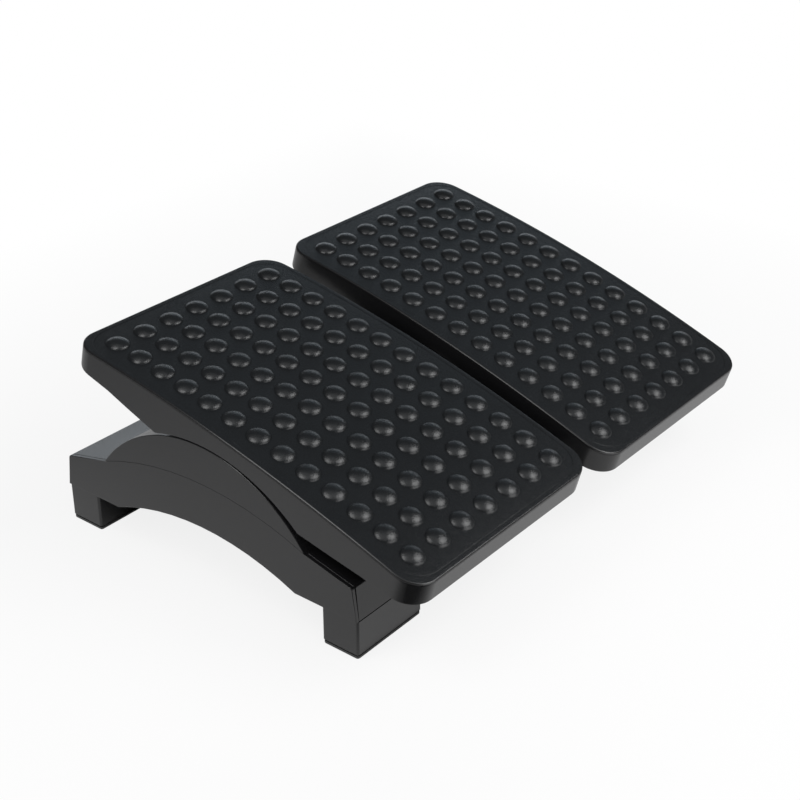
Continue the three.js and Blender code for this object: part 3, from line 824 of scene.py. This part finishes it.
def make_tray(side):
    """A pedal tray about the arch's middle, with its deck level."""
    sizes = group_of("pedal")
    piece = tray_blank(side + "_tray_shell")
    close_tray()
    point_outwards(piece)
    cut_recess(piece)
    shift(piece, y=-sizes.set_forward)
    slice_along(piece, saddle_stations())
    bottom = skirt_level()
    set_heights(piece, [
        (-sizes.skirt, lambda along, level: deck_height(along, -level)),
        (2 * bottom, lambda along, level: skirt_edge(along) + level - bottom),
    ])
    for rib in make_ribs():
        combine(piece, rib, "UNION")
    return piece


def rim_faces(piece):
    """Numbers of the faces on top of the rim round the mat."""

    def on_rim(face):
        below = deck_height(face.center.y, 0) - face.center.z
        return faces_up(face.center, face.normal) and abs(below) < LOOSE_TOLERANCE

    return [face.index for face in piece.data.polygons if on_rim(face)]


def make_rib(low_x, high_x, low_y, high_y, lower_edge, stations=()):
    """A rib or boss that reaches from inside the deck down to a lower edge."""
    sizes = group_of("pedal")
    rib = slab("rib", (low_x, low_y, -sizes.skirt), (high_x, high_y, 0))
    slice_along(rib, [station for station in stations if low_y < station < high_y])
    embedded = sizes.deck_drop - sizes.rib_recess
    set_heights(rib, [
        (-sizes.skirt / 2, lambda along, level: deck_height(along, embedded)),
        (-2 * sizes.skirt, lambda along, level: lower_edge(along)),
    ])
    return rib


def make_ribs():
    """The ribs under a deck, six lengthwise and six crosswise, and the boss in the middle."""
    sizes = group_of("pedal")
    half = sizes.rib / 2
    reach = (sizes.width - sizes.wall) / 2
    front, rear = (way * (sizes.depth - sizes.wall) / 2 - sizes.set_forward for way in ENDS.values())
    outer = (sizes.shoe_offset + sizes.width / 2 - sizes.wall) / 2
    ribs = []
    for offset in (sizes.boss_width / 2, sizes.shoe_offset, outer):
        for x in (-offset, offset):
            ribs.append(make_rib(x - half, x + half, front, rear, rib_edge, saddle_stations()))
    for rib_share in CROSS_RIB_SHARES:
        y = rib_share * sizes.depth / 2 - sizes.set_forward
        ribs.append(make_rib(-reach, reach, y - half, y + half, rib_edge))
    x, y = sizes.boss_width / 2, sizes.boss_depth / 2
    ribs.append(make_rib(-x, x, -y, y, lambda along: sizes.arch + sizes.boss_gap))
    return ribs


def pedal_place(side):
    """Where a pedal's own origin lies, and its tilt at rest."""
    joint = next(j for j in frame["record"]["behaviour"]["joints"] if j["child"] == side + "_pedal")
    return Vector(joint["pos_m"]), getattr(group_of("pedal"), side + "_tilt")


def make_dome_tile(name):
    """One dome with the oblong of flat sheet round it."""
    sizes = group_of("mat")
    radius = sizes.dome_width / 2
    tile = new_form(name, "grid", x_subdivisions=TILE_STEPS, y_subdivisions=TILE_STEPS, size=1)
    edit(tile)
    bpy.ops.transform.resize(value=(sizes.pitch_across, sizes.pitch_along, 1))
    bpy.ops.mesh.dissolve_faces()
    inset(TILE_RING)
    bpy.ops.transform.tosphere(value=1)
    growth = radius / max(point.length for point in selected_points(tile))
    bpy.ops.transform.resize(value=(growth, growth, 1))
    for (wide, high), (narrow, higher) in zip(DOME_SHARES, DOME_SHARES[1:]):
        inset((wide - narrow) * radius, (higher - high) * sizes.dome_height)
    bpy.ops.mesh.poke(offset=(1 - DOME_SHARES[-1][1]) * sizes.dome_height)
    leave()
    return tile


def selected_points(piece):
    leave()
    points = [vertex.co.copy() for vertex in piece.data.vertices if vertex.select]
    bpy.ops.object.mode_set(mode="EDIT")
    return points


def repeat(piece, count, step):
    """Repeats a piece in a row and welds the copies together."""
    apply_modifier(
        piece, "ARRAY", count=count, use_relative_offset=False, use_constant_offset=True,
        constant_offset_displace=step, use_merge_vertices=True, merge_threshold=WELD_DISTANCE,
    )


def make_sheet(name, width, depth):
    """A level sheet with the grid of domes, drawn out to a width and a depth."""
    sizes = group_of("mat")
    piece = make_dome_tile(name)
    repeat(piece, sizes.columns, (sizes.pitch_across, 0, 0))
    repeat(piece, sizes.rows, (0, sizes.pitch_along, 0))
    across = sizes.pitch_across * (sizes.columns - 1)
    along = sizes.pitch_along * (sizes.rows - 1)
    edit(piece)
    move(-across / 2, -along / 2)
    pick_border()
    extrude_border(0, (width / (across + sizes.pitch_across), depth / (along + sizes.pitch_along)))
    leave()
    apply_modifier(piece, "SOLIDIFY", thickness=sizes.thickness, offset=-1)
    return piece


def make_mat(side):
    """A massage mat about the arch's middle, cut to its outline and crowned like the deck."""
    sizes = group_of("mat")
    pedal = group_of("pedal")
    width, depth = (size - 2 * (pedal.rim + sizes.gap) for size in (pedal.width, pedal.depth))
    piece = make_sheet(side + "_mat_sheet", width, depth)
    low, high = -2 * sizes.thickness, 2 * sizes.thickness + sizes.dome_height
    combine(piece, rounded_block("mat_outline", width, depth, sizes.corner, low, high), "INTERSECT")
    on_top = both_at(Z_AXIS, 0)

    def upper_edge(start, end):
        return on_top(start, end) and on_outline(start, end, width, depth, sizes.corner)

    round_edges(piece, sizes.edge_round, upper_edge)
    shift(piece, y=-pedal.set_forward)
    for vertex in piece.data.vertices:
        vertex.co.z = deck_height(vertex.co.y, sizes.recess - vertex.co.z)
    return piece


def on_outline(start, end, width, depth, corner):
    """Whether an edge lies on the rounded outline of the mat."""
    for point in (start, end):
        x = abs(point.x) - width / 2 + corner
        y = abs(point.y) - depth / 2 + corner
        reach = math.hypot(x, y) if x > 0 and y > 0 else max(x, y)
        if reach < corner - LOOSE_TOLERANCE:
            return False
    return True


# Pieces of the base, taken from the frame's own nodes and given rounded edges


def copy_of(node, name):
    """A copy of one of the frame's nodes with its loose triangles joined into flat faces."""
    mesh = frame["nodes"][node].data.copy()
    mesh.name = name
    piece = bpy.data.objects.new(name, mesh)
    bpy.context.scene.collection.objects.link(piece)
    edit(piece, "VERT")
    bpy.ops.mesh.remove_doubles(threshold=WELD_DISTANCE)
    bpy.ops.mesh.dissolve_limited(angle_limit=FLAT_ANGLE)
    leave()
    return piece


def body_middle():
    """The base's middle, behind the middle of the whole."""
    low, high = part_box("base_frame")
    return (low.y + high.y) / 2


def on_seam(point):
    """Whether a point lies on the curved seam between the arch cover and a side panel."""
    sizes = group_of("body")
    radius = (sizes.seam_reach**2 + sizes.seam_rise**2) / (2 * sizes.seam_rise)
    centre = sizes.seam_height + sizes.seam_rise - radius
    return abs(math.hypot(point.y - body_middle(), point.z - centre) - radius) < SEAM_TOLERANCE


def side_reach(node):
    """How far a piece of the body reaches to its side."""
    low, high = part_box(node)
    return max(-low.x, high.x)


def side_edges(node):
    """Picks the edges of a piece's flat side, but not those along the seam."""
    on_side = both_at(X_AXIS, side_reach(node))

    def wanted(start, end):
        return on_side(start, end) and not (on_seam(start) and on_seam(end))

    return wanted


def tuck_walls(piece):
    """Brings the lower edge of the front and rear walls in a little."""
    sizes = group_of("body")
    middle = body_middle()
    for vertex in piece.data.vertices:
        across = vertex.co.y - middle
        if abs(across) > sizes.wall_zone and vertex.co.z < sizes.wall_top:
            down = (sizes.wall_top - vertex.co.z) / (sizes.wall_top - sizes.wall_foot)
            vertex.co.y -= math.copysign(sizes.wall_tuck * min(1, down), across)


def foot_edges(node):
    """Picks the outer edges at the lower end of a leg."""
    sizes = group_of("body")
    low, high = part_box(node)
    middle, reach = (high + low) / 2, (high - low) / 2
    at_foot = both_at(Z_AXIS, low.z)

    def wanted(start, end):
        aside, ahead = ((start + end) / 2 - middle).xy
        outside = abs(aside) > reach.x - sizes.pad_corner or abs(ahead) > reach.y - sizes.pad_corner
        return at_foot(start, end) and outside

    return wanted


def body_shells():
    """Each shell of the base: its node, its new name, its rounding and the edges that it goes to."""
    sizes = group_of("body")
    yield "base_frame", "base_body", sizes.shell_round, both_at(X_AXIS, side_reach("base_frame"))
    yield "arch_cover", "arch_skin", sizes.cover_round, side_edges("arch_cover")
    for side in SIDES:
        panel = side + "_side_panel"
        yield panel, side + "_end_panel", sizes.shell_round, side_edges(panel)
        for end in ENDS:
            leg = end + "_" + side + "_leg"
            yield leg, leg + "_shell", sizes.leg_round, foot_edges(leg)


def make_foot_pad(node):
    """A rubber pad with a rounded rim, a neck and grooves in its tread."""
    sizes = group_of("body")
    low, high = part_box(node)
    size, middle = high - low, (high + low) / 2
    rounding = sizes.pad_round
    piece = rounded_plate(node + "_tread", size.x, size.y, sizes.pad_corner, rounding, PAD_CORNER_STEPS)
    for inward, downward in quarter_round(rounding, EDGE_STEPS):
        inset(inward, -downward)
    pick_border()
    extrude_border(sizes.pad_height - rounding)
    close_border()
    inset(sizes.neck_inset)
    extrude_faces(sizes.neck_height)
    leave()
    point_outwards(piece)
    cut_treads(piece, size.x / 2 - sizes.tread_margin, size.y / 2 - sizes.tread_margin)
    place(piece, (middle.x, middle.y, 0))
    return piece


def cut_treads(piece, reach_across, reach_along):
    """Sinks grooves into a pad's flat underside."""
    sizes = group_of("body")
    step = (2 * reach_along - sizes.tread_width) / (sizes.treads - 1)
    starts = [-reach_along + index * step for index in range(sizes.treads)]
    stops = [start + sizes.tread_width for start in starts]

    def tread(middle, normal):
        return faces_down(middle, normal) and middle.z < PLACE_TOLERANCE

    def groove(middle, normal):
        inside = any(start < middle.y < stop for start, stop in zip(starts, stops))
        return tread(middle, normal) and inside and abs(middle.x) < reach_across

    cuts = [(ALONG, y) for y in starts + stops] + [(ACROSS, x) for x in (-reach_across, reach_across)]
    for way, cut in cuts:
        pick_faces(piece, tread)
        bpy.ops.mesh.bisect(plane_co=way * cut, plane_no=way)
        leave()
    pick_faces(piece, groove)
    extrude_faces(sizes.tread_depth)
    leave()


# Screws


def make_screw(name, shank):
    """A pan-head screw that points up from the origin, with a cross in its head."""
    sizes = group_of("body")
    radius, height = sizes.head_radius, sizes.head_height
    screw = new_form(name, "cylinder", vertices=SCREW_SIDES, radius=radius, depth=height)
    shift(screw, z=height / 2)
    third = height / 3
    pick_faces(screw, faces_down)
    inset(third)
    leave()
    round_edges(screw, third, both_at(Z_AXIS, 0), HEAD_STEPS)
    pick_faces(screw, faces_up)
    inset(radius - sizes.shank_radius)
    extrude_faces(shank - sizes.shank_radius / 2)
    inset(sizes.shank_radius / 3, sizes.shank_radius / 2)
    leave()
    cut_cross(screw)
    return screw


def cut_cross(screw):
    """Cuts the cross with two blocks that taper inwards."""
    sizes = group_of("body")
    half, reach, depth = sizes.cross_width / 2, sizes.cross_reach, sizes.cross_depth
    for x, y in ((reach, half), (half, reach)):
        cutter = slab("cross_arm", (-x, -y, -depth), (x, y, depth))
        pick_faces(cutter, faces_up)
        bpy.ops.transform.resize(value=(CROSS_TAPER_SHARE, CROSS_TAPER_SHARE, 1))
        leave()
        combine(screw, cutter, "DIFFERENCE")


def turn_for(node):
    """How a screw's own upward axis is turned in the model."""
    for side, way in SIDES.items():
        if node.startswith(side + "_panel"):
            return Matrix.Rotation(way * QUARTER_TURN, 4, "Y")
        if node.startswith(side + "_keeper"):
            return Matrix.Rotation(pedal_place(side)[1], 4, "X")
    return Matrix.Identity(4)


def screw_span(node, turn):
    """Place of a screw's head and the length of its shank, from its node's own points."""
    back = turn.inverted()
    points = [back @ vertex.co for vertex in frame["nodes"][node].data.vertices]
    low, high = (Vector([pick(values) for values in zip(*points)]) for pick in (min, max))
    middle = (low + high) / 2
    return Vector((middle.x, middle.y, low.z)), high.z - low.z - group_of("body").head_height


# Operators


class FOOTREST_OT_make_mats(bpy.types.Operator):
    """Models the two massage mats with their domes"""

    bl_idname = "footrest.make_mats"
    bl_label = "Massage Mats"

    def execute(self, context):
        for side in SIDES:
            piece = make_mat(side)
            place(piece, *pedal_place(side))
            shade(piece)
            finish_piece(piece, side + "_pedal", "mat", side + "_massage_mat")
        return {"FINISHED"}


class FOOTREST_OT_make_trays(bpy.types.Operator):
    """Models the two pedal trays with their rims, skirts and ribs"""

    bl_idname = "footrest.make_trays"
    bl_label = "Pedal Trays"

    def execute(self, context):
        for side in SIDES:
            piece = make_tray(side)
            rim = rim_faces(piece)
            place(piece, *pedal_place(side))
            shade(piece)
            finish_piece(piece, side + "_pedal", "shell", side + "_pedal_tray")
            piece.data.materials.append(material_for("mat"))
            for index in rim:
                piece.data.polygons[index].material_index = 1
        return {"FINISHED"}


class FOOTREST_OT_make_body(bpy.types.Operator):
    """Rounds the edges of the base, its arch cover, its side panels and its legs"""

    bl_idname = "footrest.make_body"
    bl_label = "Base Shells"

    def execute(self, context):
        pieces = {}
        for node, name, width, wanted in body_shells():
            pieces[node] = copy_of(node, name)
            round_edges(pieces[node], width, wanted, clamped=True)
        for node in ("base_frame", "left_side_panel", "right_side_panel"):
            tuck_walls(pieces[node])
        for node, piece in pieces.items():
            shade(piece)
            finish_piece(piece, "base", "shell", node)
        return {"FINISHED"}


class FOOTREST_OT_make_pads(bpy.types.Operator):
    """Models the four rubber foot pads with grooves in their treads"""

    bl_idname = "footrest.make_pads"
    bl_label = "Foot Pads"

    def execute(self, context):
        for side in SIDES:
            for end in ENDS:
                node = end + "_" + side + "_foot_pad"
                piece = make_foot_pad(node)
                shade(piece)
                finish_piece(piece, "base", "rubber", node)
        return {"FINISHED"}


class FOOTREST_OT_make_screws(bpy.types.Operator):
    """Models a pan-head screw for each length and copies it to every screw's place"""

    bl_idname = "footrest.make_screws"
    bl_label = "Screws"

    def execute(self, context):
        models = {}
        for node in sorted(name for name in frame["nodes"] if "screw" in name):
            turn = turn_for(node)
            head, shank = screw_span(node, turn)
            key = round(shank / MM)
            if key not in models:
                models[key] = make_screw("screw_model", shank)
                shade(models[key])
            mesh = models[key].data.copy()
            mesh.transform(turn @ Matrix.Translation(head))
            mesh.name = node + "_head"
            piece = bpy.data.objects.new(mesh.name, mesh)
            context.scene.collection.objects.link(piece)
            finish_piece(piece, body_of(node), "steel", node)
        for model in models.values():
            bpy.data.objects.remove(model)
        return {"FINISHED"}


class FOOTREST_OT_finish_guides(bpy.types.Operator):
    """Gives the frame's own guides, shoes and stops their materials"""

    bl_idname = "footrest.finish_guides"
    bl_label = "Guides and Stops"

    def execute(self, context):
        slots = {row["node"]: row["material_slot"] for row in frame["record"]["subparts"]}
        for node, piece in frame["nodes"].items():
            if not piece.hide_render:
                piece.data.materials.clear()
                piece.data.materials.append(material_for(slots[node]))
        return {"FINISHED"}


def view_direction(azimuth, elevation):
    """The way from the object to a camera that stands round it."""
    return Vector((
        math.sin(azimuth) * math.cos(elevation),
        -math.cos(azimuth) * math.cos(elevation),
        math.sin(elevation),
    ))


def add_softbox(name, towards, distance, width, height, brightness, tint):
    deselect()
    way = Vector(towards).normalized()
    bpy.ops.object.light_add(type="AREA", location=way * distance)
    lamp = bpy.context.object
    lamp.name = name
    lamp.rotation_euler = way.to_track_quat("Z", "Y").to_euler()
    lamp.data.shape = "RECTANGLE"
    lamp.data.size = width
    lamp.data.size_y = height
    lamp.data.energy = brightness * math.pi * width * height
    lamp.data.color = tint
    lamp.visible_camera = False


def seen_white(stage, outside):
    """White share of the floor's seen colour, which is plain white far from the object."""
    return (outside / stage.far_fade).clamped() * (1 - stage.white_share) + stage.white_share


def mirrored_white(stage, outside):
    """White share where the object mirrors the floor: none under the object, painted shade a little way off,
    and more white again far out.
    """
    fall = (outside / stage.fall_reach).clamped() * stage.fall_share
    rise = (outside / stage.rise_reach).clamped() * stage.rise_share
    return (outside / stage.contact).clamped() * (1 - fall + rise) * stage.mirror_share


def painted_shade_spot_share(stage, x, y):
    """Share of the painted dark patch over a place on the floor: painted shade that only mirrors see."""
    aside, ahead = x - stage.painted_shade_spot[0], y - stage.painted_shade_spot[1]
    away = (aside * aside + ahead * ahead).root()
    return 1 - ((away - stage.painted_shade_spot_radius) / stage.painted_shade_spot_fade).clamped()


def floor_finish(stage):
    """A pale floor that the camera sees as nearly white, and that mirrors see darker near the object, with
    painted shade and a painted dark patch.
    """
    finish = new_finish("pale_floor")
    seen, through, mirrored = finish.rays()
    x, y = finish.node("SeparateXYZ", Vector=finish.places(), outputs="XY")
    low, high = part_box("base_frame")
    outside = (x.size() - high.x).larger((y - body_middle()).size() - (high.y - low.y) / 2)
    white = (seen + through) * seen_white(stage, outside) + mirrored * mirrored_white(stage, outside)
    lit = finish.node("BsdfDiffuse", Color=stage.floor)
    pale = finish.node("MixShader", white.clamped(), lit, finish.node("Emission", Color=WHITE))
    # Painted shade: black that only mirrors see over the painted dark patch
    dark = finish.node("Emission", Color=BLACK)
    surface = finish.node("MixShader", mirrored * painted_shade_spot_share(stage, x, y), pale, dark)
    finish.fill("Material Output", Surface=surface)
    return finish.owner


def add_floor(stage):
    floor = new_form("studio_floor", "plane", size=stage.floor_width)
    floor.data.materials.append(floor_finish(stage))


def add_surround(stage):
    """A dim even room that the camera sees as white."""
    world = bpy.data.worlds.new("studio_room")
    bpy.context.scene.world = world
    room = Finish(world)
    seen, through, _ = room.rays()
    brightness = (seen + through).clamped() * (1 - stage.surround) + stage.surround
    room.fill("Background", Color=WHITE, Strength=brightness)


def add_camera(stage):
    deselect()
    bpy.ops.object.camera_add(location=stage.camera)
    camera = bpy.context.object
    camera.name = "studio_camera"
    camera.rotation_euler = view_direction(stage.azimuth, stage.elevation).to_track_quat("Z", "Y").to_euler()
    camera.data.lens = stage.lens
    camera.data.clip_start = CLIP_START
    bpy.context.scene.camera = camera


class FOOTREST_OT_set_stage(bpy.types.Operator):
    """Sets up the pale floor, the softboxes, the white room and the camera"""

    bl_idname = "footrest.set_stage"
    bl_label = "Studio"

    def execute(self, context):
        stage = group_of("stage")
        add_floor(stage)
        add_surround(stage)
        for name, softbox in SOFTBOXES.items():
            add_softbox(name, *softbox)
        add_camera(stage)
        context.scene.view_settings.view_transform = "Standard"
        return {"FINISHED"}


class FOOTREST_PT_panel(bpy.types.Panel):
    """Lists the footrest's pieces in the order that they are made"""

    bl_idname = "FOOTREST_PT_panel"
    bl_label = "Tilting Footrest"
    bl_space_type = "VIEW_3D"
    bl_region_type = "UI"
    bl_category = "Footrest"

    def draw(self, context):
        for operator in OPERATORS:
            self.layout.operator(operator.bl_idname)
        for name in GROUPS:
            box = self.layout.box()
            group = getattr(context.scene, name)
            for field in group.bl_rna.properties:
                if field.identifier not in ("name", "rna_type"):
                    box.prop(group, field.identifier)


OPERATORS = (
    FOOTREST_OT_make_mats,
    FOOTREST_OT_make_trays,
    FOOTREST_OT_make_body,
    FOOTREST_OT_make_pads,
    FOOTREST_OT_make_screws,
    FOOTREST_OT_finish_guides,
    FOOTREST_OT_set_stage,
)


def register():
    for group in GROUPS.values():
        bpy.utils.register_class(group)
    for name, group in GROUPS.items():
        setattr(bpy.types.Scene, name, PointerProperty(type=group))
    for operator in OPERATORS:
        bpy.utils.register_class(operator)
    bpy.utils.register_class(FOOTREST_PT_panel)


def unregister():
    bpy.utils.unregister_class(FOOTREST_PT_panel)
    for operator in reversed(OPERATORS):
        bpy.utils.unregister_class(operator)
    for name, group in GROUPS.items():
        delattr(bpy.types.Scene, name)
        bpy.utils.unregister_class(group)


def main():
    register()
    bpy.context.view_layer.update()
    for operator in OPERATORS:
        family, action = operator.bl_idname.split(".")
        if getattr(getattr(bpy.ops, family), action)() != {"FINISHED"}:
            raise RuntimeError(operator.bl_label + " didn't finish")


if __name__ == "__main__":
    main()
